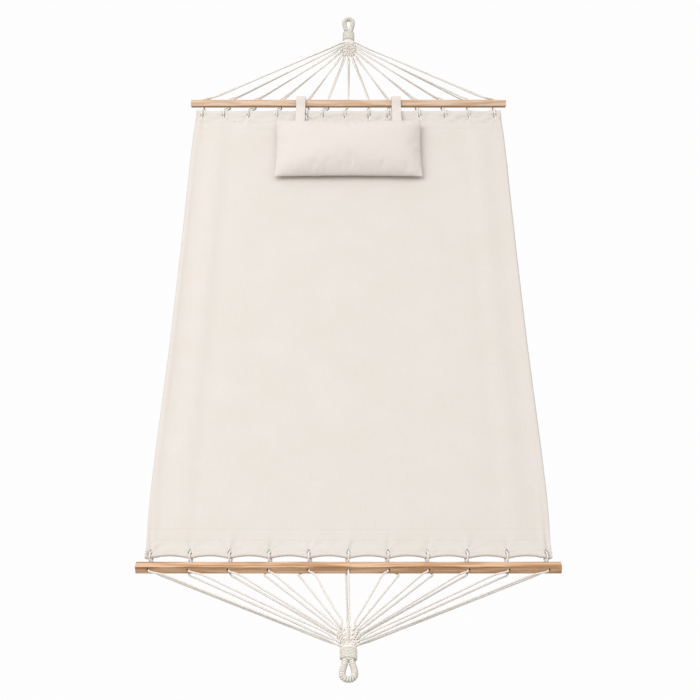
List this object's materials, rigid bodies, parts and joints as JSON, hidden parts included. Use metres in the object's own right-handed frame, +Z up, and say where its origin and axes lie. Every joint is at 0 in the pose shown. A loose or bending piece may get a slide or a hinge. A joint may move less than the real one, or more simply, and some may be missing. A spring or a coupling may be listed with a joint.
{
  "type": "spreader bar hammock",
  "caption": "Cloth hammock on two wooden spreader bars, with a fan of cords and a served rope eye at each end and a small pillow strapped to the head bar.",
  "frame": {"origin": "inside of the head eye's tip, where the hook that holds the head end bears", "axes": "+Y runs from the foot end to the head end, +Z up, +X to the right when looking from the foot to the head"},
  "size_m": [1.3, 2.8917, 0.1749],
  "materials": {
    "bar_wood": "planed hardwood with a thin oil finish, satin",
    "cotton_cord": "laid cotton and polyester cord, off-white, matt",
    "bed_canvas": "plain woven cotton canvas, natural cream, matt",
    "pillow_canvas": "plain woven cotton canvas, natural cream, matt",
    "fibre_filling": "white fibre wadding"
  },
  "bodies": {
    "sling": {"head_bar": "bar_wood", "foot_bar": "bar_wood", "bed_cloth": "bed_canvas", "head_hem_rope": "cotton_cord", "foot_hem_rope": "cotton_cord", "head_cord_01": "cotton_cord", "head_cord_02": "cotton_cord", "head_cord_03": "cotton_cord", "head_cord_04": "cotton_cord", "head_cord_05": "cotton_cord", "head_cord_06": "cotton_cord", "head_cord_07": "cotton_cord", "head_cord_08": "cotton_cord", "head_cord_09": "cotton_cord", "head_cord_10": "cotton_cord", "head_cord_11": "cotton_cord", "head_cord_12": "cotton_cord", "head_cord_13": "cotton_cord", "head_weave": "cotton_cord", "head_neck": "cotton_cord", "head_whipping": "cotton_cord", "head_eye": "cotton_cord", "head_serving": "cotton_cord", "foot_tie_01": "cotton_cord", "foot_tie_02": "cotton_cord", "foot_tie_03": "cotton_cord", "foot_tie_04": "cotton_cord", "foot_tie_05": "cotton_cord", "foot_tie_06": "cotton_cord", "foot_tie_07": "cotton_cord", "foot_tie_08": "cotton_cord", "foot_tie_09": "cotton_cord", "foot_tie_10": "cotton_cord", "foot_tie_11": "cotton_cord"},
    "foot_clew": {"foot_cord_01": "cotton_cord", "foot_cord_02": "cotton_cord", "foot_cord_03": "cotton_cord", "foot_cord_04": "cotton_cord", "foot_cord_05": "cotton_cord", "foot_cord_06": "cotton_cord", "foot_cord_07": "cotton_cord", "foot_cord_08": "cotton_cord", "foot_cord_09": "cotton_cord", "foot_cord_10": "cotton_cord", "foot_cord_11": "cotton_cord", "foot_weave": "cotton_cord", "foot_neck": "cotton_cord", "foot_whipping": "cotton_cord", "foot_eye": "cotton_cord", "foot_serving": "cotton_cord"},
    "pillow": {"pillow_cover": "pillow_canvas", "pillow_filling": "fibre_filling", "pillow_strap_left": "pillow_canvas", "pillow_strap_right": "pillow_canvas"}
  },
  "joints": [
    {"name": "clew_fold", "type": "hinge", "parent": "sling", "child": "foot_clew", "pos_m": [0, -2.47053, -0.11756], "axis": [-1, 0, 0], "range_deg": [0, 130]},
    {"name": "pillow_flip", "type": "hinge", "parent": "sling", "child": "pillow", "pos_m": [0, -0.38453, -0.11756], "axis": [-1, 0, 0], "range_deg": [0, 135]}
  ]
}
